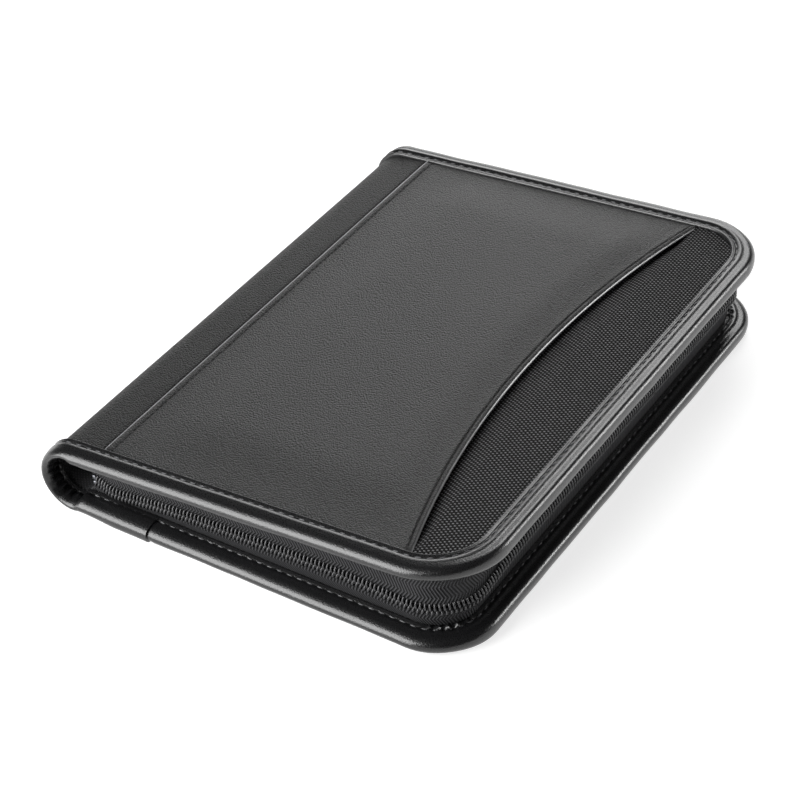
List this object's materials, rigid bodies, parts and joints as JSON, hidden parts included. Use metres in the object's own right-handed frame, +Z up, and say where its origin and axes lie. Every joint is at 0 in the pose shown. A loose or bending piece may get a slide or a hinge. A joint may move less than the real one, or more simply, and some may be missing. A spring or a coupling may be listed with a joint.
{
  "type": "zippered padfolio",
  "caption": "Zippered padfolio with padded leather covers, a curved slash pocket over a nylon panel, a rounded spine and a coil zip round three sides, holding a writing pad.",
  "frame": {"origin": "centre of the closed folio's footprint, on the surface it lies on", "axes": "+X from the spine to the fore edge, +Y along the spine, +Z up through the front cover"},
  "size_m": [0.1818, 0.24, 0.0395],
  "materials": {
    "leather": "semi-matte fine grain",
    "binding_leather": "smooth satin",
    "pocket_nylon": "ballistic weave",
    "interlining": "matte",
    "foam": "matte foam",
    "board": "greyboard",
    "lining": "matte",
    "zip_tape": "twill",
    "zip_coil": "satin nylon",
    "zip_metal": "satin black",
    "paper": "uncoated",
    "pad_card": "uncoated",
    "pad_tape": "matte",
    "pocket_leather": "semi-matte",
    "elastic": "ribbed"
  },
  "bodies": {
    "back_cover": {"back_binding": "binding_leather", "back_spine_wrap": "leather", "back_leather": "leather", "back_foam": "foam", "back_board": "board", "back_lining": "lining", "back_zip_tape": "zip_tape", "back_zip_coil": "zip_coil", "back_zip_stops": "zip_metal", "pad_card": "pad_card", "pad_sheets": "paper", "pad_header": "pad_tape", "pad_pocket": "pocket_leather", "pen_loop": "elastic"},
    "spine": {"spine_leather": "leather", "spine_lining": "lining", "spine_binding": "binding_leather"},
    "front_cover": {"front_binding": "binding_leather", "front_spine_wrap": "leather", "front_leather": "leather", "front_pocket_hem": "leather", "front_pocket_nylon": "pocket_nylon", "front_interlining": "interlining", "front_foam": "foam", "front_board": "board", "front_lining": "lining", "front_zip_tape": "zip_tape", "front_zip_coil": "zip_coil", "front_zip_stops": "zip_metal", "document_pocket": "pocket_leather", "card_slot_1": "pocket_leather", "card_slot_2": "pocket_leather", "card_slot_3": "pocket_leather"},
    "zip_slider": {"zip_slider_body": "zip_metal", "zip_slider_bridge": "zip_metal"},
    "zip_pull": {"zip_pull": "zip_metal"}
  },
  "joints": [
    {"name": "spine_fold_back", "type": "hinge", "parent": "back_cover", "child": "spine", "pos_m": [-0.08665, 0, 0.00393], "axis": [0, -1, 0], "range_deg": [0, 88]},
    {"name": "spine_fold_front", "type": "hinge", "parent": "spine", "child": "front_cover", "pos_m": [-0.08733, 0, 0.02337], "axis": [0, -1, 0], "range_deg": [0, 88]},
    {"name": "zip_slide", "type": "slide", "parent": "back_cover", "child": "zip_slider", "axis": [0.9994, 0, 0.0349], "range_m": [0, 0.12], "deforming": ["back_zip_coil", "front_zip_coil"]},
    {"name": "pull_swing", "type": "hinge", "parent": "zip_slider", "child": "zip_pull", "pos_m": [-0.06294, 0.11405, 0.01449], "axis": [-0.0349, 0, 0.9994], "range_deg": [0, 150]}
  ]
}
